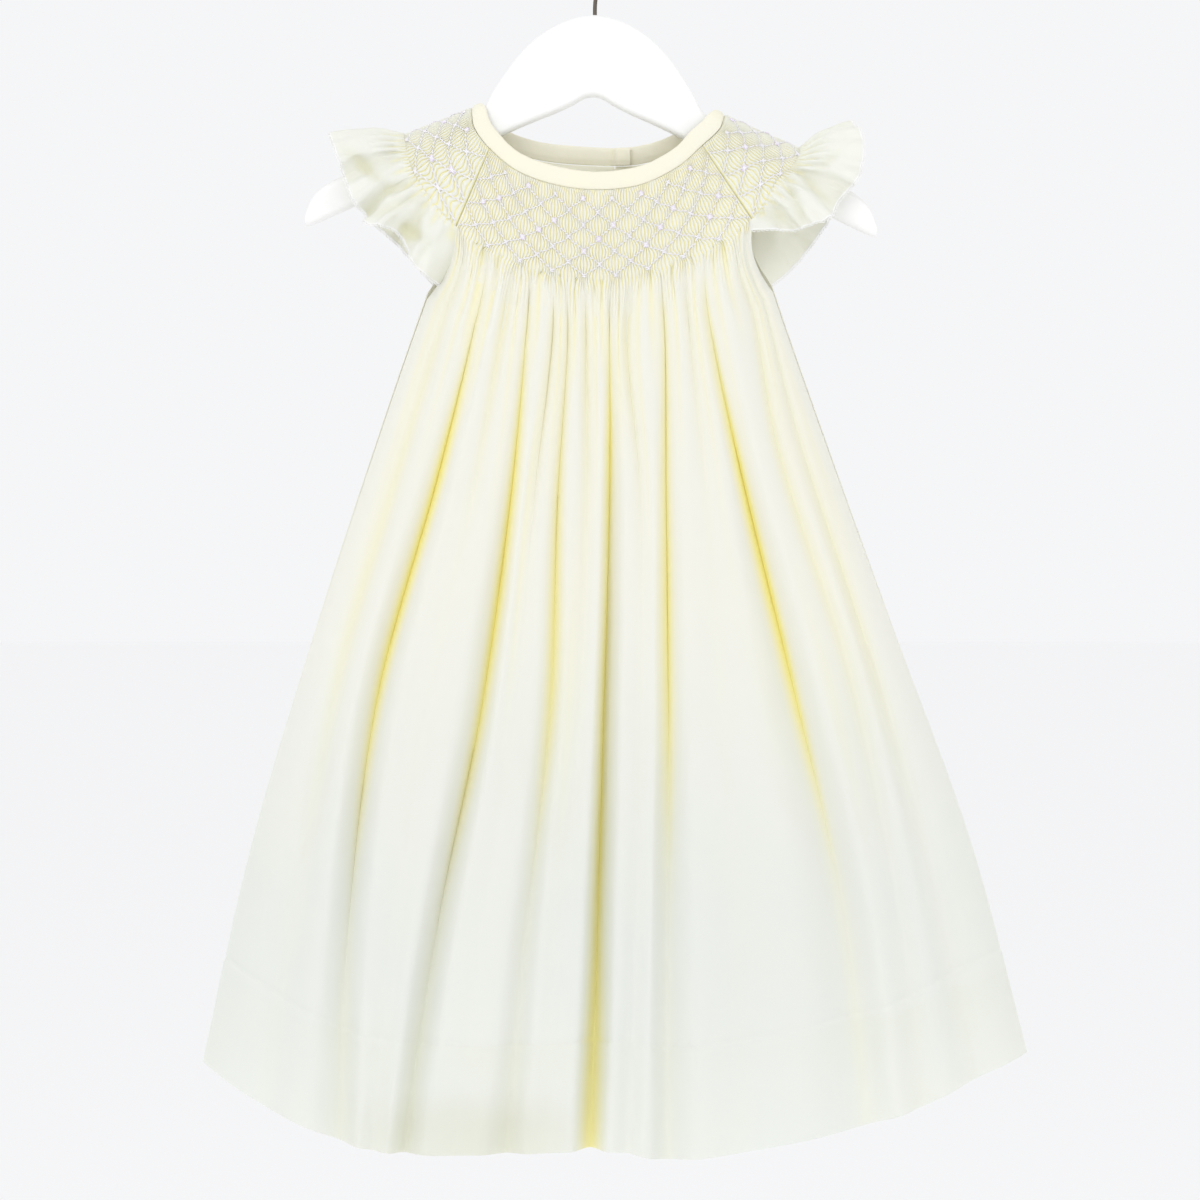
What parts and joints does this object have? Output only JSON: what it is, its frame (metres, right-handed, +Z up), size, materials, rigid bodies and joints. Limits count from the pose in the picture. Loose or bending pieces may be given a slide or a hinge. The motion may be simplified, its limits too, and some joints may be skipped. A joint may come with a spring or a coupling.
{
  "type": "smocked dress on a hanger",
  "caption": "Child's smocked bishop dress with flutter sleeves and a deep hem, hanging flat on a plain wooden hanger.",
  "frame": {"origin": "top of the inside of the hook, where the hanger rests on a rail", "axes": "+Z up; the front of the dress faces -Y; +X to the viewer's right when the front is looked at"},
  "size_m": [0.4118, 0.0675, 0.6245],
  "materials": {
    "cloth": "matt cotton batiste, pale yellow",
    "binding": "matt cotton bias strip, cream",
    "button": "pearl gloss",
    "hanger_wood": "white satin paint",
    "hook_steel": "dark bronze wire"
  },
  "bodies": {
    "root": {"front": "cloth", "back_left": "cloth", "back_right": "cloth", "sleeve_left": "cloth", "sleeve_right": "cloth", "neck_binding": "binding", "back_placket": "cloth", "button_1": "button", "button_2": "button", "button_3": "button", "hanger_body": "hanger_wood", "hanger_hook": "hook_steel"}
  },
  "joints": []
}
